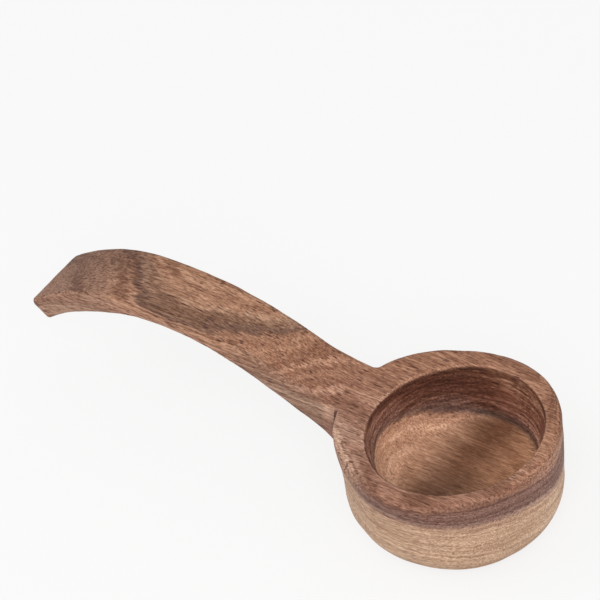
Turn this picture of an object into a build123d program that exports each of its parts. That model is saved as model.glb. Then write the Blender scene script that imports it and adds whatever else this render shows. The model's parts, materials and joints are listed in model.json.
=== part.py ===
from build123d import *

import math
import os

# Wooden measuring spoon, carved in one piece: a thick round bowl that holds one
# tablespoon level with its rim, and a flat strap handle that rises off the rim,
# crests, and hooks down at the end.
# Millimetres. The origin is the centre of the bowl's flat base, +Z points up
# through the bowl, and the handle runs towards -X. The part mirrors about XZ.

# Well: the measure itself, a tapered hole set a little off the bowl's axis
well_mouth_radius = 21.0
well_flare = 3.0
well_depth = 12.6
well_shift = 1.4

# Bowl, outside: the wood left round and under the well, and the flat sanded off its foot
rim_width = 5.1
floor_thickness = 14.2
belly_arc_radius = 12.0
base_cut = 1.5
wall_lean = 4.0

# The bowl draws in towards the handle: its back is a smaller circle set further back
back_step = 2.2
back_shift = 5.0

# Handle's top, from the side: distances out from the bowl's rim and heights over it
handle_start_inset = 3.6
rise_reach = 14.3
rise_height = 3.4
crest_reach = 54.6
crest_rise = 10.9
tip_reach = 93.9
tip_drop = 2.6

# Handle's underside, from the side
handle_thickness = 4.9
under_crest_lag = 3.7
bend_rise = 0.2
heel_inset = 7.1
heel_height = 8.0
tip_cut_run = 4.7
tip_cut_drop = 4.5

# Handle, seen from above
root_width = 15.6
tip_width = 18.7

# Rounded and eased edges
top_edge_round = 1.3
root_crease_round = 1.8
tip_edge_round = 0.4
under_edge_bevel = 0.6
mouth_edge_bevel = 0.5

# Where the underside starts to bend down, as a share of its crest's distance from the rim
bend_along_share = 0.479

# Stock left on for the saw, and how far each cut runs past it
saw_allowance = 3.0

# Bowl sizes that follow
bowl_radius = well_mouth_radius + rim_width
bowl_height = well_depth + floor_thickness
back_radius = bowl_radius - back_step
wall_slope = math.tan(math.radians(wall_lean))
belly_height = belly_arc_radius - base_cut
belly_turn = math.degrees(math.asin(belly_height / belly_arc_radius))

# Handle landmarks that follow, as places along X and heights above the base
tip_x = -bowl_radius - tip_reach
crest_x = -bowl_radius - crest_reach
under_crest_x = crest_x + under_crest_lag
bend_x = -bowl_radius - (crest_reach - under_crest_lag) * bend_along_share
heel_x = -bowl_radius + heel_inset
crest_height = bowl_height + crest_rise
tip_height = bowl_height - tip_drop
under_crest_height = crest_height - handle_thickness
blank_height = crest_height + saw_allowance
blank_half_width = bowl_radius + blank_height * wall_slope + saw_allowance

# Where the bowl's straight tangents leave its front circle, as an angle from +X, and their length
tangent_angle = 180 - math.degrees(math.acos(back_step / back_shift))
tangent_length = back_shift * math.sin(math.radians(tangent_angle))
tangent_heading = Vector(0, 1, 0).rotate(Axis.Z, tangent_angle)


def wall_section(rim_radius):
    """Half of the bowl blank's section: flat base, belly arc, and a wall that runs on up past the rim."""
    wall_foot_height = belly_height - belly_arc_radius * math.sin(math.radians(wall_lean))
    wall_foot_radius = rim_radius - (bowl_height - wall_foot_height) * wall_slope
    belly_centre_radius = wall_foot_radius - belly_arc_radius * math.cos(math.radians(wall_lean))
    with BuildSketch(Plane.XZ) as section:
        with BuildLine():
            belly = CenterArc(
                center=(belly_centre_radius, belly_height),
                radius=belly_arc_radius,
                start_angle=-belly_turn,
                arc_size=belly_turn - wall_lean,
            )
            Polyline(
                belly @ 1,
                (rim_radius + (blank_height - bowl_height) * wall_slope, blank_height),
                (0, blank_height),
                (0, 0),
                belly @ 0,
            )
        make_face()
    return section.sketch


# Bowl blank: two round ends and the tangent slabs that join them
with BuildPart() as bowl:
    revolve(wall_section(bowl_radius), axis=Axis.Z)
    left_section = wall_section(bowl_radius).rotate(Axis.Z, tangent_angle)
    left_slab = extrude(left_section, amount=tangent_length, dir=tangent_heading)
    mirror(left_slab, about=Plane.XZ)
    back_axis = Axis((-back_shift, 0, 0), (0, 0, 1))
    revolve(Pos(X=-back_shift) * wall_section(back_radius), axis=back_axis)

with BuildPart() as spoon:
    # Handle blank: hooked end and underside, with the top left high and the heel inside the bowl
    with BuildSketch(Plane.XZ.offset(-tip_width)) as under_view:
        with BuildLine():
            tip_cut = Line((tip_x, tip_height), (tip_x + tip_cut_run, tip_height - tip_cut_drop))
            under_hook = TangentArc((under_crest_x, under_crest_height), tip_cut @ 1, tangent=(-1, 0))
            under_rise = TangentArc(
                under_hook @ 0,
                (bend_x, bowl_height + bend_rise),
                tangent=(1, 0),
            )
            under_root = TangentArc(under_rise @ 1, (heel_x, heel_height), tangent=under_rise % 1)
            Polyline(under_root @ 1, (heel_x, blank_height), (tip_x, blank_height), tip_cut @ 0)
        make_face()
    extrude(amount=2 * tip_width)
    # Handle from above: a straight taper, wider at the end
    with BuildSketch() as plan_view:
        with BuildLine():
            Polyline(
                (heel_x, -root_width / 2),
                (tip_x - saw_allowance, -tip_width / 2),
                (tip_x - saw_allowance, tip_width / 2),
                (heel_x, root_width / 2),
                close=True,
            )
        make_face()
    extrude(amount=blank_height + saw_allowance, mode=Mode.INTERSECT)
    under_edges = spoon.edges().filter_by(GeomType.LINE, reverse=True)
    chamfer(under_edges, length=under_edge_bevel)

    # Bowl and handle become one, with a rolled crease where they meet
    add(bowl.part)
    root_crease = spoon.edges(Select.NEW)
    fillet(root_crease, radius=root_crease_round)

    # Top: one cut levels the rim and carries on as the handle's rise, crest and hook
    with BuildSketch(Plane.XZ.offset(-blank_half_width)) as top_view:
        with BuildLine():
            rim_line = Line(
                (blank_half_width, bowl_height),
                (-bowl_radius + handle_start_inset, bowl_height),
            )
            rise = TangentArc(
                rim_line @ 1,
                (-bowl_radius - rise_reach, bowl_height + rise_height),
                tangent=rim_line % 1,
            )
            crest = TangentArc(rise @ 1, (crest_x, crest_height), tangent=rise % 1)
            hook = TangentArc(crest @ 1, (tip_x, tip_height), tangent=crest % 1)
            run_out = Line(hook @ 1, hook @ 1 + (hook % 1) * saw_allowance)
            Polyline(
                run_out @ 1,
                (tip_x - saw_allowance, blank_height + saw_allowance),
                (blank_half_width, blank_height + saw_allowance),
                rim_line @ 0,
            )
        make_face()
    extrude(amount=2 * blank_half_width, mode=Mode.SUBTRACT)
    top_outline = spoon.edges(Select.NEW).filter_by(Axis.Y, reverse=True)
    fillet(top_outline, radius=top_edge_round)

    # Well: turned out of the bowl
    with BuildSketch(Plane.XZ) as well_view:
        with BuildLine():
            floor = Line(
                (well_shift, floor_thickness),
                (well_shift + well_mouth_radius - well_flare, floor_thickness),
            )
            well_wall = Line(floor @ 1, (well_shift + well_mouth_radius, bowl_height))
            run_up = Line(well_wall @ 1, well_wall @ 1 + (well_wall % 1) * saw_allowance)
            Polyline(run_up @ 1, (well_shift, (run_up @ 1).Y), floor @ 0)
        make_face()
    revolve(axis=Axis((well_shift, 0, 0), (0, 0, 1)), mode=Mode.SUBTRACT)
    mouth_edge = spoon.edges().sort_by_distance((well_shift + well_mouth_radius, 0, bowl_height))[0]
    chamfer(mouth_edge, length=mouth_edge_bevel)

    # Handle end: the saw's sharp edges taken off
    end_face = spoon.faces().sort_by(Axis.X)[0]
    fillet(end_face.edges(), radius=tip_edge_round)

spoon.part.label = "spoon"
os.makedirs("parts", exist_ok=True)
export_step(spoon.part, "parts/spoon.step")

print("volume", spoon.part.volume, "centre of mass", spoon.part.center(CenterOf.MASS))
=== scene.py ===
import bpy
import json
import math
from mathutils import Matrix, Vector, noise

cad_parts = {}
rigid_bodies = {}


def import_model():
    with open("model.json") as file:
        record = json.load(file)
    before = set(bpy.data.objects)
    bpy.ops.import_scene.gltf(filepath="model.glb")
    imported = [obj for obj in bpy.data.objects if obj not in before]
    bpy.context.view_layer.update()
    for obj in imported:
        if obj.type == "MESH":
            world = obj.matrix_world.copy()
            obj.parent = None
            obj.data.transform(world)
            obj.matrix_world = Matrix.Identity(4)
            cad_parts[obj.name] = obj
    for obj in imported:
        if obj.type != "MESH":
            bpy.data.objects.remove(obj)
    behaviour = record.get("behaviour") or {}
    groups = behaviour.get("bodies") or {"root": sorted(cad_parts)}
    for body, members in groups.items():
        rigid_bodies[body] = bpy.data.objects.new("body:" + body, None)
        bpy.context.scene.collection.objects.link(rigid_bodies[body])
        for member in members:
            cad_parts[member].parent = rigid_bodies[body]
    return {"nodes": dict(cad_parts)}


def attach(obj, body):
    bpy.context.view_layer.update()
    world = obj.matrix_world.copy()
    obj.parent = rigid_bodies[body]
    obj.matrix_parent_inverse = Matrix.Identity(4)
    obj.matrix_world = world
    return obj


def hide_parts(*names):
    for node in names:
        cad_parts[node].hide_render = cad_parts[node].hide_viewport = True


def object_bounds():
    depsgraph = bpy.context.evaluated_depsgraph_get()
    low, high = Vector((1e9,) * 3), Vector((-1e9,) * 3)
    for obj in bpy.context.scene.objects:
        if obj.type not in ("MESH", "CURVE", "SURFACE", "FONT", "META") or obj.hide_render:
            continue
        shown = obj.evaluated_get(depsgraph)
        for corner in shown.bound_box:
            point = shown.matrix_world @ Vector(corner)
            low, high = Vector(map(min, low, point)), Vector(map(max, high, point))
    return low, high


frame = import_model()
cad_low, cad_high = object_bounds()
bpy.ops.object.select_all(action="DESELECT")

# Lengths are in millimetres in the spoon's own frame. MM turns them into metres.
MM = 0.001

# The spoon's own sizes, which its carving and its colouring follow
WELL_CENTRE_X = 1.4
WELL_MOUTH_RADIUS = 21.0
WELL_FLOOR_RADIUS = 18.0
WELL_FLARE = 3.0
WELL_DEPTH = 12.6
WELL_FLOOR_Z = 14.2
RIM_Z = 26.8
WALL_SLOPE = 0.07
BOWL_RADIUS = 26.1
BACK_RADIUS = 23.9
BACK_SHIFT = 5.0
TANGENT_ANGLE = 116.1
TANGENT_LENGTH = 4.49
END_X = -120.0
END_Z = 24.2
END_HALF_WIDTH = 9.33
# Directions: into the handle, square to its end face, along X and Z, and from the
# bowl's axis to its far front corner, along X and Y
INTO_END = (0.692, 0.722)
TO_CORNER = (0.72, 0.69)


def srgb(red, green, blue):
    """An 8-bit screen colour as a linear colour with full cover."""
    linear = []
    for level in (red, green, blue):
        share = level / 255
        linear.append(share / 12.92 if share <= 0.04045 else ((share + 0.055) / 1.055) ** 2.4)
    return (*linear, 1.0)


# ---- Node helpers: each adds what it needs and gives back the socket to use next

class NodeSheet:
    """Builds nodes in one tree. Numbers and sockets can be mixed as inputs."""

    def __init__(self, tree):
        self.tree = tree

    def add(self, kind, **settings):
        node = self.tree.nodes.new(kind)
        for name, value in settings.items():
            setattr(node, name, value)
        return node

    def feed(self, socket, value):
        if isinstance(value, bpy.types.NodeSocket):
            self.tree.links.new(value, socket)
        else:
            socket.default_value = value

    def maths(self, operation, first, second=0.0, third=0.0):
        node = self.add("ShaderNodeMath", operation=operation)
        for socket, value in zip(node.inputs, (first, second, third)):
            self.feed(socket, value)
        return node.outputs[0]

    def times(self, first, *others):
        for other in others:
            first = self.maths("MULTIPLY", first, other)
        return first

    def plus(self, first, *others):
        for other in others:
            first = self.maths("ADD", first, other)
        return first

    def scaled_plus(self, value, factor, base):
        """value times factor, plus base."""
        return self.maths("MULTIPLY_ADD", value, factor, base)

    def swayed(self, base, share, height):
        """base moved up and down by a noise's share, over the height in all."""
        return self.scaled_plus(self.plus(share, -0.5), height, base)

    def step(self, value, low, high, to_low=0.0, to_high=1.0):
        """Fades smoothly from to_low, where value is low, to to_high, where value is high."""
        node = self.add("ShaderNodeMapRange", interpolation_type="SMOOTHSTEP")
        self.feed(node.inputs["Value"], value)
        self.feed(node.inputs["From Min"], low)
        self.feed(node.inputs["From Max"], high)
        self.feed(node.inputs["To Min"], to_low)
        self.feed(node.inputs["To Max"], to_high)
        return node.outputs["Result"]

    def between(self, value, one_end, other_end):
        """1 between two ends, 0 outside. Each end fades in from its first number to its second."""
        return self.times(self.step(value, *one_end), self.step(value, *other_end))

    def vector(self, x, y, z):
        node = self.add("ShaderNodeCombineXYZ")
        for socket, value in zip(node.inputs, (x, y, z)):
            self.feed(socket, value)
        return node.outputs[0]

    def stretched(self, vector, stretch, shift=(0.0, 0.0, 0.0)):
        """A vector scaled along X, Y and Z, for noise in cycles per millimetre, and then moved."""
        node = self.add("ShaderNodeMapping")
        self.feed(node.inputs["Vector"], vector)
        node.inputs["Scale"].default_value = stretch
        node.inputs["Location"].default_value = shift
        return node.outputs[0]

    def noise(self, vector, detail=2.0, roughness=0.5):
        node = self.add("ShaderNodeTexNoise", noise_dimensions="3D", normalize=True)
        self.feed(node.inputs["Vector"], vector)
        node.inputs["Scale"].default_value = 1.0
        node.inputs["Detail"].default_value = detail
        node.inputs["Roughness"].default_value = roughness
        return node.outputs["Fac"]

    def cells(self, vector):
        """Distance to the nearest of scattered points, and a random share that belongs to it."""
        node = self.add("ShaderNodeTexVoronoi", voronoi_dimensions="3D", feature="F1")
        self.feed(node.inputs["Vector"], vector)
        node.inputs["Scale"].default_value = 1.0
        split = self.add("ShaderNodeSeparateColor")
        self.feed(split.inputs[0], node.outputs["Color"])
        return node.outputs["Distance"], split.outputs[0]

    def layered(self, level, layers):
        """The colour at a level, from a table of levels and their screen colours."""
        low, high = layers[0][0], layers[-1][0]
        share = self.add("ShaderNodeMapRange", interpolation_type="LINEAR")
        self.feed(share.inputs["Value"], level)
        share.inputs["From Min"].default_value = low
        share.inputs["From Max"].default_value = high
        node = self.add("ShaderNodeValToRGB")
        self.feed(node.inputs["Fac"], share.outputs["Result"])
        elements = node.color_ramp.elements
        while len(elements) < len(layers):
            elements.new(1.0)
        for element, (layer_level, tint) in zip(elements, layers):
            element.position = (layer_level - low) / (high - low)
            element.color = srgb(*tint)
        return node.outputs["Color"]

    def mix(self, share, first, second):
        node = self.add("ShaderNodeMix", data_type="RGBA", blend_type="MIX")
        self.feed(node.inputs[0], share)
        self.feed(node.inputs[6], first)
        self.feed(node.inputs[7], second)
        return node.outputs[2]

    def tinted(self, colour, share, tint):
        """A colour with a share of a screen colour over it."""
        return self.mix(share, colour, srgb(*tint))

    def mix_values(self, share, first, second):
        node = self.add("ShaderNodeMix", data_type="FLOAT")
        self.feed(node.inputs[0], share)
        self.feed(node.inputs[2], first)
        self.feed(node.inputs[3], second)
        return node.outputs[0]

    def toned(self, colour, tone):
        """A colour made lighter or darker by a factor. Wood turns redder as it darkens."""
        green_tone = self.maths("POWER", tone, 1.25)
        blue_tone = self.maths("POWER", tone, 1.4)
        node = self.add("ShaderNodeVectorMath", operation="MULTIPLY")
        self.feed(node.inputs[0], colour)
        self.feed(node.inputs[1], self.vector(tone, green_tone, blue_tone))
        return node.outputs[0]


def new_material(name):
    material = bpy.data.materials.new(name)
    material.use_nodes = True
    material.node_tree.nodes.clear()
    return material, NodeSheet(material.node_tree)


# ---- Wood: growth layers that lie nearly level in the blank, with the grain along X

# Colour of each layer by its level: pale sapwood, a dark band where it meets the
# heartwood, red-brown heartwood, one grey streak and a pale figure over it
OUTSIDE_LAYERS = (
    (4.0, (195, 160, 133)),
    (15.5, (191, 155, 128)),
    (17.6, (186, 148, 123)),
    (18.6, (156, 122, 106)),
    (19.8, (124, 91, 80)),
    (22.2, (130, 93, 80)),
    (23.8, (158, 114, 93)),
    (25.8, (168, 122, 98)),
    (28.6, (172, 125, 98)),
    (29.95, (164, 119, 94)),
    (30.2, (124, 91, 74)),
    (30.45, (117, 85, 69)),
    (30.65, (148, 112, 91)),
    (31.2, (160, 122, 98)),
    (31.9, (176, 131, 104)),
    (38.0, (188, 143, 113)),
)
# The same layers in the well: partly darker heartwood, partly painted shade on its wall
WELL_LAYERS_WITH_PAINTED_SHADE = (
    (14.0, (212, 163, 132)),
    (17.4, (206, 156, 125)),
    (18.3, (168, 122, 97)),
    (19.0, (108, 76, 63)),
    (20.5, (112, 74, 59)),
    (23.5, (98, 59, 44)),
    (26.5, (88, 50, 36)),
    (30.0, (104, 66, 48)),
    (38.0, (122, 82, 63)),
)

# Levels in the layers that the colouring looks for
BAND_MIDDLE_LEVEL = 20.5
BAND_UPPER_HEIGHT = 3.0
HEARTWOOD_LEVEL = 23.0
STREAK_LEVEL = 30.3
# The highest level that shows on the bowl, and how much higher the handle's layers reach
BOWL_TOP_LEVEL = 28.8
HANDLE_LEVEL_GAIN = 9.5

# Screen colours that are laid over the layers
TIP_TINT = (129, 94, 76)
# Partly the wood's colour, partly painted light on the bowl's near back
FADED_BAND_AND_LIGHT_TINT = (166, 127, 105)
# Painted shade on the handle's near side
NEAR_SIDE_SHADE_TINT = (132, 102, 85)
# Painted shadow in the crease where the handle meets the bowl
CREASE_SHADOW_TINT = (76, 38, 33)
FLOOR_BACK_TINT = (200, 153, 123)
FLOOR_MIDDLE_TINT = (120, 80, 57)
FLOOR_FRONT_TINT = (186, 134, 100)
# Painted shadow of the near rim on the well's floor
FLOOR_RIM_SHADOW_TINT = (118, 84, 64)
# Painted shade in the corner of the well's floor
FLOOR_CORNER_SHADE_TINT = (74, 51, 41)
PORE_TINT = (70, 36, 30)


class WoodSpot:
    """Where a point of the wood lies, and what the colour steps share about it, as sockets."""

    def __init__(self, sheet):
        coords = sheet.add("ShaderNodeTexCoord").outputs["Object"]
        self.place = sheet.stretched(coords, (1 / MM, 1 / MM, 1 / MM))
        split = sheet.add("ShaderNodeSeparateXYZ")
        sheet.feed(split.inputs[0], self.place)
        self.x, self.y, self.z = split.outputs

        # How far a point lies towards the bowl's far front corner, and from the well's axis
        along_x, along_y = TO_CORNER
        self.to_corner = sheet.scaled_plus(self.y, along_y, sheet.times(self.x, along_x))
        from_axis = sheet.plus(self.x, -WELL_CENTRE_X)
        squares = sheet.plus(sheet.times(from_axis, from_axis), sheet.times(self.y, self.y))
        self.reach = sheet.maths("SQRT", squares)

        self.near_back = sheet.times(
            sheet.step(self.x, -4.0, -14.0),
            sheet.step(self.y, -6.0, -13.0),
        )
        self.fibres = sheet.noise(
            sheet.stretched(self.place, (0.10, 2.4, 2.4)), detail=4.0, roughness=0.7)
        self.level = self.growth_level(sheet)

    def growth_level(self, sheet):
        """Level in the growth layers: tilted, dished across, and bent up at the handle's end."""
        tilt_along = 0.0745
        tilt_across = 0.206
        dish_across = 0.0037
        handle_bend_x = -90.0
        handle_bend = 0.012
        # The layers rise at the bowl's far front corner
        corner_start = 21.0
        corner_bend = -0.2
        sway_height = 2.4
        fray_height = 1.7

        level = sheet.scaled_plus(self.x, tilt_along, self.z)
        level = sheet.scaled_plus(self.y, tilt_across, level)
        level = sheet.scaled_plus(sheet.times(self.y, self.y), dish_across, level)
        past_bend = sheet.maths("MINIMUM", sheet.plus(self.x, -handle_bend_x), 0.0)
        level = sheet.scaled_plus(sheet.times(past_bend, past_bend), handle_bend, level)
        past_corner = sheet.maths("MAXIMUM", sheet.plus(self.to_corner, -corner_start), 0.0)
        level = sheet.scaled_plus(sheet.times(past_corner, past_corner), corner_bend, level)
        sway = sheet.noise(sheet.stretched(self.place, (0.020, 0.06, 0.06)))
        level = sheet.swayed(level, sway, sway_height)
        fray = sheet.noise(
            sheet.stretched(self.place, (0.16, 0.9, 0.9), (4.0, 1.0, 8.0)),
            detail=3.0, roughness=0.6)
        return sheet.swayed(level, fray, fray_height)


def outside_colour(sheet, wood):
    """Colour of the handle and of the bowl's rim and outer wall."""
    # The grey streak and the pale figure stay on the handle
    on_handle = sheet.step(wood.x, -36.0, -46.0)
    top_level = sheet.scaled_plus(on_handle, HANDLE_LEVEL_GAIN, BOWL_TOP_LEVEL)
    level = sheet.maths("MINIMUM", wood.level, top_level)
    # The dark band is thicker round the bowl's front and far side
    over_middle = sheet.maths("MAXIMUM", sheet.plus(wood.level, -BAND_MIDDLE_LEVEL), 0.0)
    over_middle = sheet.maths("MINIMUM", over_middle, BAND_UPPER_HEIGHT)
    stretched = sheet.step(wood.to_corner, -20.0, 8.0, 0.0, -0.6)
    level = sheet.plus(level, sheet.times(over_middle, stretched))
    # The sapwood stays off the handle
    off_bowl = sheet.step(wood.x, -25.0, -30.0)
    level = sheet.maths("MAXIMUM", level, sheet.times(off_bowl, HEARTWOOD_LEVEL))
    colour = sheet.layered(level, OUTSIDE_LAYERS)

    # Handle's end: greyer on top, browner on its sides
    at_end = sheet.step(wood.x, -88.0, -100.0, 0.0, 0.75)
    end_share = sheet.times(at_end, sheet.step(wood.level, 23.0, 27.0, 0.15, 1.0))
    colour = sheet.tinted(colour, end_share, TIP_TINT)

    # The dark band fades to brown on the bowl's near back: partly the wood's own colour, partly
    # painted light where that side turns from the lamp
    in_band = sheet.between(wood.level, (18.0, 19.4), (24.0, 22.4))
    at_back = sheet.step(wood.x, -5.0, -15.0, 0.0, 0.9)
    on_near_side = sheet.step(wood.y, 2.0, -6.0)
    band_fade_and_light_share = sheet.times(in_band, at_back, on_near_side)
    colour = sheet.tinted(colour, band_fade_and_light_share, FADED_BAND_AND_LIGHT_TINT)

    # Painted shade: the handle's near side is darker than its top, and greyer by the bowl
    near_side = sheet.times(sheet.step(wood.y, -5.6, -7.8), sheet.step(wood.x, -30.0, -34.0))
    painted_side_shade = sheet.times(near_side, sheet.step(wood.x, -62.0, -48.0, 0.15, 0.55))
    colour = sheet.tinted(colour, painted_side_shade, NEAR_SIDE_SHADE_TINT)

    # Near root crease: painted shadow, a dark reddish line down the handle's side where it meets
    # the bowl
    crease_x = -32.0
    crease_lean = -0.17
    past_crease = sheet.plus(sheet.scaled_plus(wood.z, crease_lean, wood.x), -crease_x)
    crease_shadow_share = sheet.times(
        sheet.step(sheet.maths("ABSOLUTE", past_crease), 0.80, 0.38),
        sheet.step(wood.z, 17.0, 21.0, 0.45, 0.95),
        sheet.between(wood.y, (-6.9, -7.5), (-10.2, -9.4)),
        sheet.between(wood.z, (16.8, 17.6), (27.2, 26.5)),
    )
    return sheet.tinted(colour, crease_shadow_share, CREASE_SHADOW_TINT)


def well_colour(sheet, wood):
    """Well: its wall partly darker heartwood and partly painted shade, painted lighter on its
    sides, a mottled floor with painted shade on its near side, and a dark line of painted shade in
    its corner.
    """
    colour = sheet.layered(wood.level, WELL_LAYERS_WITH_PAINTED_SHADE)
    # Painted light and shade: the wall is darkest at its far back and near front and painted
    # lighter on its sides, and a gouge has streaked it
    off_painted_shade_line = sheet.maths("ABSOLUTE", wood.to_corner)
    gouge_marks = sheet.noise(
        sheet.stretched(wood.place, (0.11, 0.11, 1.5), (3.0, 8.0, 0.0)),
        detail=3.0, roughness=0.6)
    wall_gouges_and_painted_light = sheet.times(
        sheet.step(off_painted_shade_line, 7.0, 17.0, 1.05, 1.80),
        sheet.step(gouge_marks, 0.36, 0.66, 0.66, 1.40),
    )
    in_heartwood = sheet.step(wood.level, 17.0, 19.5, 0.15, 1.0)
    wall_gouges_and_painted_light = sheet.scaled_plus(in_heartwood, sheet.plus(wall_gouges_and_painted_light, -1.0), 1.0)
    colour = sheet.toned(colour, wall_gouges_and_painted_light)

    # Floor: pale at the back, brown in the middle, warmer at the front, and dark on the near side
    # with painted shadow of the near rim
    cloud_height = 10.0
    cloud = sheet.noise(sheet.stretched(wood.place, (0.06, 0.10, 0.10), (2.0, 5.0, 3.0)))
    floor_x = sheet.swayed(wood.x, cloud, cloud_height)
    floor = sheet.tinted(srgb(*FLOOR_BACK_TINT), sheet.step(floor_x, -13.0, 2.0), FLOOR_MIDDLE_TINT)
    floor = sheet.tinted(floor, sheet.step(floor_x, 3.0, 13.0, 0.0, 0.8), FLOOR_FRONT_TINT)
    on_near_side = sheet.step(wood.y, 2.0, -9.0, 0.0, 0.6)
    painted_rim_shadow_share = sheet.times(on_near_side, sheet.step(wood.x, -9.0, -1.0))
    floor = sheet.tinted(floor, painted_rim_shadow_share, FLOOR_RIM_SHADOW_TINT)
    on_floor = sheet.times(
        sheet.step(wood.z, WELL_FLOOR_Z + 1.0, WELL_FLOOR_Z + 0.2),
        sheet.step(wood.reach, WELL_FLOOR_RADIUS + 0.4, WELL_FLOOR_RADIUS - 0.6),
    )
    colour = sheet.mix(on_floor, colour, floor)
    # Painted shade: a dark line where the floor meets the wall, towards the handle
    painted_corner_shade = sheet.times(
        sheet.step(wood.reach, WELL_FLOOR_RADIUS - 1.6, WELL_FLOOR_RADIUS),
        sheet.step(wood.z, WELL_FLOOR_Z + 2.2, WELL_FLOOR_Z + 0.6),
        sheet.step(wood.x, -14.0, -8.0, 0.0, 0.85),
    )
    return sheet.tinted(colour, painted_corner_shade, FLOOR_CORNER_SHADE_TINT)


def grain_tone(sheet, wood):
    """Lines that follow the layers, fibres along X and a fine fleck, as shares of the light."""
    line_spot = sheet.vector(
        sheet.times(wood.x, 0.018), sheet.times(wood.y, 0.05), sheet.times(wood.level, 1.5))
    lines = sheet.noise(line_spot, detail=3.0, roughness=0.6)
    flecks = sheet.noise(
        sheet.stretched(wood.place, (0.60, 3.4, 3.4), (1.0, 9.0, 4.0)),
        detail=3.0, roughness=0.65)
    tone = sheet.times(
        sheet.step(lines, 0.34, 0.68, 1.18, 0.76),
        sheet.step(wood.fibres, 0.36, 0.66, 1.18, 0.78),
        sheet.step(flecks, 0.34, 0.66, 1.18, 0.81),
    )
    # The heartwood's grain is stronger than the sapwood's, round the same mean
    mean_tone = 0.99
    strength = sheet.step(wood.level, 18.5, 20.5, 1.0, 1.35)
    return sheet.scaled_plus(sheet.plus(tone, -mean_tone), strength, mean_tone)


def quarter_tone(sheet, wood):
    """How much lighter or darker each quarter of the spoon is; the bowl's side gets painted light.
    """
    # The top is palest where the handle begins and darkens to the bowl's front and far side
    near_front = sheet.times(sheet.step(wood.x, -2.0, 8.0), sheet.step(wood.y, -8.0, -16.0))
    far_back = sheet.times(sheet.step(wood.x, 4.0, -6.0), sheet.step(wood.y, 8.0, 16.0))
    quarters = sheet.scaled_plus(near_front, -0.13, 1.0)
    quarters = sheet.scaled_plus(wood.near_back, 0.13, quarters)
    quarters = sheet.scaled_plus(far_back, -0.09, quarters)
    top_tone = sheet.times(
        sheet.step(wood.x, -52.0, -34.0, 1.0, 1.11),
        sheet.step(wood.x, -19.0, 2.0, 1.0, 0.83),
        sheet.step(wood.y, -6.0, 14.0, 1.0, 0.86),
        quarters,
    )
    # Painted light: the bowl's side is paler round the far front corner
    painted_side_light = sheet.step(wood.to_corner, 9.0, 22.0, 1.0, 1.27)
    on_top = sheet.step(wood.z, 24.0, 26.0)
    return sheet.mix_values(on_top, painted_side_light, top_tone)


def mouth_highlight_and_shade(sheet, wood):
    """The mouth's lip is pale with a painted highlight, with a dark line of painted shade under it.
    """
    lip = sheet.times(
        sheet.between(wood.reach, (21.9, 21.5), (WELL_MOUTH_RADIUS, 21.25)),
        sheet.step(wood.z, 25.8, 26.3, 0.0, 0.20),
    )
    under_lip_painted_shade = sheet.times(
        sheet.step(wood.reach, 21.15, 20.95),
        sheet.step(wood.z, 25.0, 26.1, 0.0, -0.32),
    )
    return sheet.plus(lip, under_lip_painted_shade, 1.0)


def open_pores(sheet, wood):
    """Short dark strokes along X, some deeper than others, as a share of full depth."""
    # The long ones crowd in patches, in the grey streak and on the bowl's near back
    crowd = sheet.noise(sheet.stretched(wood.place, (0.045, 0.35, 0.35), (9.0, 2.0, 6.0)))
    crowd = sheet.step(crowd, 0.38, 0.58, 0.25, 1.0)
    from_streak = sheet.maths("ABSOLUTE", sheet.plus(wood.level, -STREAK_LEVEL))
    crowd = sheet.maths("MAXIMUM", crowd, sheet.step(from_streak, 1.0, 0.4))
    crowd = sheet.maths("MAXIMUM", crowd, wood.near_back)
    gap, depth = sheet.cells(sheet.stretched(wood.place, (0.22, 1.5, 1.5)))
    long_pores = sheet.times(sheet.step(gap, 0.38, 0.20), sheet.step(depth, 0.25, 0.75))
    gap, depth = sheet.cells(sheet.stretched(wood.place, (0.46, 2.3, 2.3), (5.0, 3.0, 1.0)))
    short_pores = sheet.times(
        sheet.step(gap, 0.38, 0.18),
        sheet.step(depth, 0.25, 0.80, 0.0, 0.8),
    )
    return sheet.maths("MAXIMUM", sheet.times(long_pores, crowd), short_pores)


def make_wood():
    material, sheet = new_material("oiled_wood")
    wood = WoodSpot(sheet)
    in_well = sheet.times(
        sheet.step(wood.reach, WELL_MOUTH_RADIUS + 0.35, WELL_MOUTH_RADIUS - 0.15),
        sheet.step(wood.z, 12.0, 13.5),
    )
    colour = sheet.mix(in_well, outside_colour(sheet, wood), well_colour(sheet, wood))
    tone = sheet.times(
        grain_tone(sheet, wood), quarter_tone(sheet, wood), mouth_highlight_and_shade(sheet, wood))
    colour = sheet.toned(colour, tone)

    # Pores show less in the sapwood
    pores = open_pores(sheet, wood)
    in_sapwood = sheet.step(wood.level, 19.0, 17.0)
    pore_share = sheet.times(pores, sheet.scaled_plus(in_sapwood, -0.40, 0.80))
    colour = sheet.tinted(colour, pore_share, PORE_TINT)

    surface = sheet.add("ShaderNodeBsdfPrincipled")
    sheet.feed(surface.inputs["Base Color"], colour)
    sheet.feed(surface.inputs["Roughness"], sheet.step(pores, 0.0, 1.0, 0.56, 0.80))
    surface.inputs["Specular IOR Level"].default_value = 0.22
    bump = sheet.add("ShaderNodeBump")
    bump.inputs["Strength"].default_value = 0.6
    bump.inputs["Distance"].default_value = 0.10 * MM
    height = sheet.scaled_plus(pores, -0.8, sheet.times(wood.fibres, -0.7))
    sheet.feed(bump.inputs["Height"], height)
    sheet.feed(surface.inputs["Normal"], bump.outputs[0])
    output = sheet.add("ShaderNodeOutputMaterial")
    sheet.feed(output.inputs["Surface"], surface.outputs[0])
    return material


# ---- The carved spoon: a copy of the fitted solid, with what the carver's hand left on it

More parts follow.
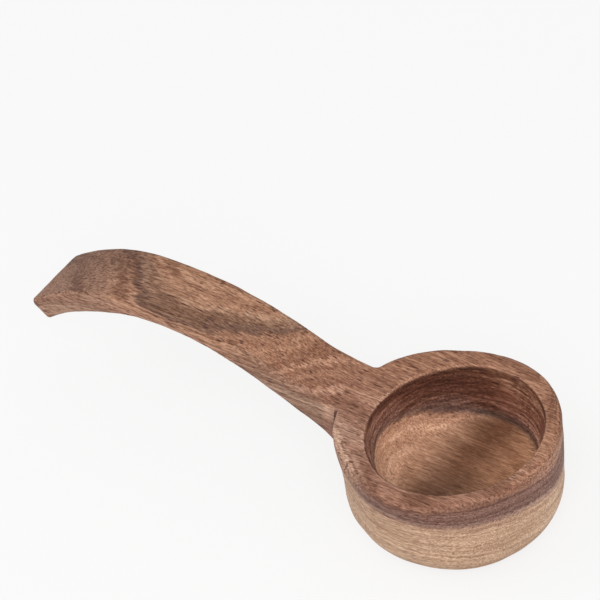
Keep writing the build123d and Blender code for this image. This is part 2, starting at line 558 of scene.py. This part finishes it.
def rounded_corner(inset_a, inset_b, radius):
    """Moves a point near a square edge onto a rounding. Both insets count from the edge's faces."""
    if radius <= 0.0 or inset_a >= radius or inset_b >= radius:
        return inset_a, inset_b
    from_centre = math.hypot(inset_a - radius, inset_b - radius)
    if from_centre <= radius:
        return inset_a, inset_b
    pull = radius / from_centre
    return radius + (inset_a - radius) * pull, radius + (inset_b - radius) * pull


def soft_step(value, low, high):
    share = min(max((value - low) / (high - low), 0.0), 1.0)
    return share * share * (3 - 2 * share)


def soft_window(value, rise, fall):
    """Fades in over the rise's two numbers and out over the fall's."""
    return soft_step(value, *rise) * (1 - soft_step(value, *fall))


def lobe(angle, middle, spread):
    """1 at the middle angle, fading to 0 at the spread on both sides, in degrees."""
    away = abs((angle - middle + 180) % 360 - 180)
    return 1 - soft_step(away, 0.0, spread)


def angle_round(x, y):
    """Which way a point lies from the bowl's axis, in degrees from +X."""
    return math.degrees(math.atan2(y, x))


def cove_well_corner(x, y, z):
    """The well's floor runs up into its wall on the handle's side, where a gouge left a cove."""
    cove_radius = 6.5
    surface_slack = 0.6
    reach = math.hypot(x - WELL_CENTRE_X, y)
    wall_reach = WELL_FLOOR_RADIUS + (z - WELL_FLOOR_Z) * WELL_FLARE / WELL_DEPTH
    in_wall = reach > wall_reach + surface_slack
    if in_wall or z < WELL_FLOOR_Z - surface_slack or z > RIM_Z:
        return x, y, z
    radius = cove_radius * soft_step(-x, 0.0, 12.0)
    wall_inset, floor_inset = rounded_corner(wall_reach - reach, z - WELL_FLOOR_Z, radius)
    new_reach = wall_reach - wall_inset
    if reach > 1.0:
        x = WELL_CENTRE_X + (x - WELL_CENTRE_X) * new_reach / reach
        y = y * new_reach / reach
    return x, y, WELL_FLOOR_Z + floor_inset


def bowl_side(x, y):
    """How far a point lies inside the bowl's egg-shaped outline, and which way is out."""
    turn = math.radians(TANGENT_ANGLE)
    along = -math.sin(turn) * x + math.cos(turn) * abs(y)
    if along < 0.0:
        reach = math.hypot(x, y)
        return BOWL_RADIUS - reach, x / reach, y / reach
    if along > TANGENT_LENGTH:
        reach = math.hypot(x + BACK_SHIFT, y)
        return BACK_RADIUS - reach, (x + BACK_SHIFT) / reach, y / reach
    out_x = math.cos(turn)
    out_y = math.copysign(math.sin(turn), y)
    return BOWL_RADIUS - (x * out_x + y * out_y), out_x, out_y


def soften_rim(x, y, z):
    """The rim's outer edge is rubbed rounder on the near side, most of all beside the handle."""
    full_radius = 4.3
    # The solid's own rounding, below which nothing changes
    least_radius = 1.3
    ring_start = 21.8
    ring_depth = 5.0
    handle_start_x = -24.0
    radius = full_radius * lobe(angle_round(x, y), -125.0, 50.0)
    in_mouth = math.hypot(x - WELL_CENTRE_X, y) < ring_start
    on_handle = x < handle_start_x
    if in_mouth or on_handle or z < RIM_Z - ring_depth or radius < least_radius:
        return x, y, z
    inset, out_x, out_y = bowl_side(x, y)
    side_inset = inset - (RIM_Z - z) * WALL_SLOPE
    new_side, top_inset = rounded_corner(side_inset, RIM_Z - z, radius)
    shift = side_inset - new_side
    return x + out_x * shift, y + out_y * shift, RIM_Z - top_inset


def fill_out_bowl(x, y, z):
    """Low down the bowl is fuller on its near back quarter and flatter opposite. Its back leans."""
    fuller = 0.7 * lobe(angle_round(x, y), -126.0, 50.0)
    flatter = 0.85 * lobe(angle_round(x, y), 44.0, 50.0)
    waist = 0.25 * lobe(angle_round(x, y), -142.0, 32.0)
    far_lean = 0.6
    reach = math.hypot(x, y)
    outside = soft_step(reach, 12.0, 22.0) * soft_step(x, -32.0, -27.0)
    push = (fuller - flatter) * soft_window(z, (0.2, 6.0), (10.0, 21.0)) * outside
    push -= waist * soft_window(z, (13.0, 19.0), (23.0, RIM_Z)) * outside
    if push != 0.0:
        x += push * x / reach
        y += push * y / reach
    lean = soft_step(x, -44.0, -24.0) * soft_step(-x, 8.0, 20.0) * soft_step(z, 6.0, 16.0)
    return x, y + far_lean * lean, z


def flare_root(x, y, z):
    """The handle's near side spreads low down into the bowl, where a knife has cut the crease."""
    flare = 0.8
    cut_depth = 0.5
    cut_reach = 1.1
    # The cut goes in at 45 degrees to the handle
    cut_slant = 0.7
    crease_x = -27.9
    crease_y = -8.45
    low_down = soft_step(26.3 - z, 0.0, 7.5)
    near_bowl = soft_window(x, (-33.5, -28.0), (-27.0, -24.0))
    y -= flare * low_down * near_bowl * soft_step(-y, 4.0, 7.5)
    past_crease_x = x - crease_x - (RIM_Z - z) * WALL_SLOPE
    past_crease_y = y - crease_y + flare * low_down
    in_cut = 1 - soft_step(math.hypot(past_crease_x, past_crease_y), 0.0, cut_reach)
    cut = cut_depth * in_cut * soft_step(z, 15.5, 18.0) * soft_step(26.9 - z, 0.0, 0.8)
    return x + cut_slant * cut, y + cut_slant * cut, z


def round_far_tip_corner(x, y, z):
    """The handle's far end corner is rounded off."""
    corner_radius = 3.0
    corner_start_x = -105.0
    if x > corner_start_x or y < 0.0:
        return x, y, z
    in_x, in_z = INTO_END
    end_inset = (x - END_X) * in_x + (z - END_Z) * in_z
    new_end, new_side = rounded_corner(end_inset, END_HALF_WIDTH - y, corner_radius)
    shift = new_end - end_inset
    return x + shift * in_x, END_HALF_WIDTH - new_side, z + shift * in_z


HAND_CARVED_FORMS = (
    cove_well_corner,
    soften_rim,
    fill_out_bowl,
    flare_root,
    round_far_tip_corner,
)


def tool_marks(x, y, z):
    """How far long tool strokes and small dents lift the surface at a point."""
    stroke_depth = 0.26
    dent_depth = 0.09
    stroke_spot = Vector((x * 0.055, y * 0.085, z * 0.11))
    dent_spot = Vector((x, y, z)) * 0.24 + Vector((7.0, 3.0, 1.0))
    return noise.noise(stroke_spot) * stroke_depth + noise.noise(dent_spot) * dent_depth


def copy_evenly_meshed(blank, name):
    """A copy of a solid's mesh with small faces of one size, its facets sanded off."""
    weld_distance = 0.002 * MM
    face_size = 0.44 * MM
    bpy.ops.object.select_all(action="DESELECT")
    blank.select_set(True)
    bpy.context.view_layer.objects.active = blank
    bpy.ops.object.duplicate()
    piece = bpy.context.object
    piece.name = name
    bpy.ops.object.parent_clear(type="CLEAR_KEEP_TRANSFORM")
    bpy.ops.object.transform_apply(location=True, rotation=True, scale=True)
    bpy.ops.object.mode_set(mode="EDIT")
    bpy.ops.mesh.select_all(action="SELECT")
    bpy.ops.mesh.remove_doubles(threshold=weld_distance)
    bpy.ops.mesh.normals_make_consistent(inside=False)
    bpy.ops.object.mode_set(mode="OBJECT")

    even = piece.modifiers.new("even_faces", "REMESH")
    even.mode = "VOXEL"
    even.voxel_size = face_size
    bpy.ops.object.modifier_apply(modifier=even.name)
    sanded = piece.modifiers.new("sanded", "SMOOTH")
    sanded.factor = 0.5
    sanded.iterations = 2
    bpy.ops.object.modifier_apply(modifier=sanded.name)
    return piece


def carve_spoon():
    carved = copy_evenly_meshed(frame["nodes"]["spoon"], "spoon_carved")
    mesh = carved.data
    moved = []
    for vertex in mesh.vertices:
        x, y, z = vertex.co / MM
        for carve in HAND_CARVED_FORMS:
            x, y, z = carve(x, y, z)
        # The base stays flat
        off_base = soft_step(z, 0.1, 2.5)
        spot = Vector((x, y, z)) + vertex.normal * tool_marks(x, y, z) * off_base
        moved.append(spot * MM)
    # Nothing reaches past the solid's own bounds
    for vertex, spot in zip(mesh.vertices, moved):
        for axis in range(3):
            spot[axis] = min(max(spot[axis], cad_low[axis]), cad_high[axis])
        vertex.co = spot
    mesh.update()
    bpy.ops.object.shade_smooth()
    mesh.materials.clear()
    mesh.materials.append(make_wood())
    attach(carved, "root")
    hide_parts("spoon")


carve_spoon()


# ---- Floor, background and lamps

PAPER_COLOUR = (0.82, 0.82, 0.81, 1.0)
WHITE = (1.0, 1.0, 1.0, 1.0)
# How much of the floor's look is plain white to the camera. The rest keeps the shadow.
FLOOR_WHITE_SHARE = 0.80
FLOOR_RADIUS_M = 3.0
AIR_LIGHT_STRENGTH = 0.62
LAMP_WIDTH_M = 0.60
LAMP_AIM_M = (-0.03, 0.0, 0.02)


def mixed_for_camera(sheet, share, unseen, seen):
    """A shader that the camera sees as another one, or as a share of it."""
    both = sheet.add("ShaderNodeMixShader")
    sheet.feed(both.inputs[0], share)
    sheet.feed(both.inputs[1], unseen.outputs[0])
    sheet.feed(both.inputs[2], seen.outputs[0])
    return both.outputs[0]


def make_floor():
    material, sheet = new_material("studio_floor")
    paper = sheet.add("ShaderNodeBsdfDiffuse")
    paper.inputs["Color"].default_value = PAPER_COLOUR
    white = sheet.add("ShaderNodeEmission")
    camera_ray = sheet.add("ShaderNodeLightPath").outputs["Is Camera Ray"]
    white_share = sheet.times(camera_ray, FLOOR_WHITE_SHARE)
    output = sheet.add("ShaderNodeOutputMaterial")
    sheet.feed(output.inputs["Surface"], mixed_for_camera(sheet, white_share, paper, white))
    bpy.ops.mesh.primitive_circle_add(vertices=96, radius=FLOOR_RADIUS_M, fill_type="NGON")
    floor = bpy.context.object
    floor.name = "studio_floor"
    floor.data.materials.append(material)


def make_studio_air():
    """Soft light from all round, seen by the camera as white."""
    world = bpy.data.worlds.new("studio_air")
    bpy.context.scene.world = world
    world.use_nodes = True
    world.node_tree.nodes.clear()
    sheet = NodeSheet(world.node_tree)
    light = sheet.add("ShaderNodeBackground")
    light.inputs["Color"].default_value = WHITE
    light.inputs["Strength"].default_value = AIR_LIGHT_STRENGTH
    white = sheet.add("ShaderNodeBackground")
    white.inputs["Color"].default_value = WHITE
    camera_ray = sheet.add("ShaderNodeLightPath").outputs["Is Camera Ray"]
    output = sheet.add("ShaderNodeOutputWorld")
    sheet.feed(output.inputs["Surface"], mixed_for_camera(sheet, camera_ray, light, white))


def add_lamp(name, place_m, power_w):
    bpy.ops.object.light_add(type="AREA", location=place_m)
    lamp = bpy.context.object
    lamp.name = name
    lamp.data.shape = "DISK"
    lamp.data.size = LAMP_WIDTH_M
    lamp.data.energy = power_w
    aim = Vector(LAMP_AIM_M) - Vector(place_m)
    lamp.rotation_euler = aim.to_track_quat("-Z", "Y").to_euler()


make_floor()
make_studio_air()
add_lamp("key_lamp", (0.42, -0.46, 0.55), power_w=3.1)
add_lamp("side_lamp", (-0.45, -0.30, 0.50), power_w=0.8)


# ---- Camera at the photograph's angle, in degrees and millimetres

CAMERA_AZIMUTH = 45.92
CAMERA_ELEVATION = 41.71
CAMERA_ROLL = 13.28
CAMERA_DISTANCE = 1200
CAMERA_TARGET = (-57.77, 18.82, RIM_Z)
CAMERA_LENS = 303.4
SENSOR_WIDTH = 36.0
CLIP_END_M = 20.0


def add_camera():
    azimuth = math.radians(CAMERA_AZIMUTH)
    elevation = math.radians(CAMERA_ELEVATION)
    roll = math.radians(CAMERA_ROLL)
    back = Vector((
        math.sin(azimuth) * math.cos(elevation),
        -math.cos(azimuth) * math.cos(elevation),
        math.sin(elevation),
    ))
    level_right = Vector((math.cos(azimuth), math.sin(azimuth), 0.0))
    level_up = back.cross(level_right)
    right = level_right * math.cos(roll) - level_up * math.sin(roll)
    up = level_right * math.sin(roll) + level_up * math.cos(roll)
    bpy.ops.object.camera_add()
    camera = bpy.context.object
    camera.name = "photo_camera"
    camera.data.sensor_width = SENSOR_WIDTH
    camera.data.lens = CAMERA_LENS
    camera.data.clip_end = CLIP_END_M
    turn = Matrix((right, up, back)).transposed()
    place = Vector(CAMERA_TARGET) * MM + back * (CAMERA_DISTANCE * MM)
    camera.matrix_world = Matrix.Translation(place) @ turn.to_4x4()
    bpy.context.scene.camera = camera


add_camera()
bpy.context.scene.view_settings.view_transform = "Standard"
